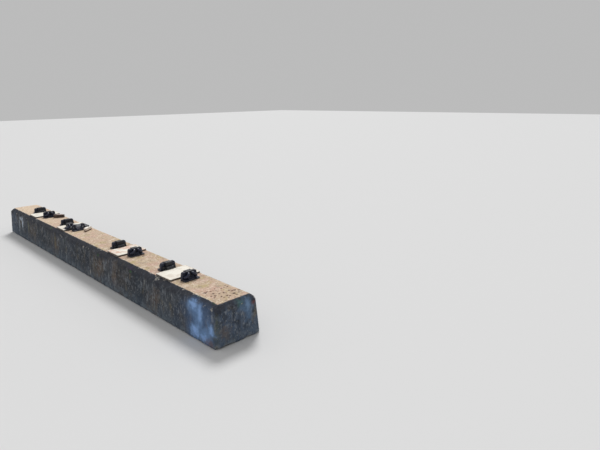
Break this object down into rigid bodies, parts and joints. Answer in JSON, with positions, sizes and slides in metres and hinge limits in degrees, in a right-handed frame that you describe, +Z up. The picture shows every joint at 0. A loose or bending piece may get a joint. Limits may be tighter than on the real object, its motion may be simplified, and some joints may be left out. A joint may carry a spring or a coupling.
{
  "type": "concrete railway sleeper",
  "caption": "Long prestressed concrete turnout sleeper with flat rail seats, each with a pale pad between cast shoulders and parked spring clips.",
  "frame": {"origin": "centre of the underside, which stands on the floor", "axes": "+X along the sleeper towards the end that is near in the picture, +Y across it, +Z up"},
  "size_m": [3.2, 0.284, 0.269],
  "materials": {
    "concrete": "weathered cast concrete: sandy top, grey-brown streaked sides, chipped arrises",
    "pad_plastic": "off-white moulded rail pad, dusty",
    "cast_iron": "near-black coated ductile iron with a little rust at its edges",
    "spring_steel": "near-black coated spring steel bar, slightly glossy, with rust specks",
    "toe_plastic": "near-black moulded nylon",
    "side_plastic": "grey moulded nylon, dirty and bleached where it lies in the sun"
  },
  "bodies": {
    "root": {"sleeper_body": "concrete", "rail_pad_1": "pad_plastic", "rail_pad_2": "pad_plastic", "rail_pad_3": "pad_plastic", "rail_pad_4": "pad_plastic", "shoulder_1_near": "cast_iron", "spring_clip_1_near": "spring_steel", "toe_insulator_1_near": "toe_plastic", "side_insulator_1_near": "side_plastic", "shoulder_1_far": "cast_iron", "spring_clip_1_far": "spring_steel", "toe_insulator_1_far": "toe_plastic", "side_insulator_1_far": "side_plastic", "shoulder_2_near": "cast_iron", "spring_clip_2_near": "spring_steel", "toe_insulator_2_near": "toe_plastic", "side_insulator_2_near": "side_plastic", "shoulder_2_far": "cast_iron", "spring_clip_2_far": "spring_steel", "toe_insulator_2_far": "toe_plastic", "side_insulator_2_far": "side_plastic", "shoulder_3_near": "cast_iron", "spring_clip_3_near": "spring_steel", "toe_insulator_3_near": "toe_plastic", "side_insulator_3_near": "side_plastic", "shoulder_3_far": "cast_iron", "spring_clip_3_far": "spring_steel", "toe_insulator_3_far": "toe_plastic", "side_insulator_3_far": "side_plastic", "shoulder_4_near": "cast_iron", "spring_clip_4_near": "spring_steel", "toe_insulator_4_near": "toe_plastic", "side_insulator_4_near": "side_plastic", "shoulder_4_far": "cast_iron", "spring_clip_4_far": "spring_steel", "toe_insulator_4_far": "toe_plastic", "side_insulator_4_far": "side_plastic"}
  },
  "joints": []
}
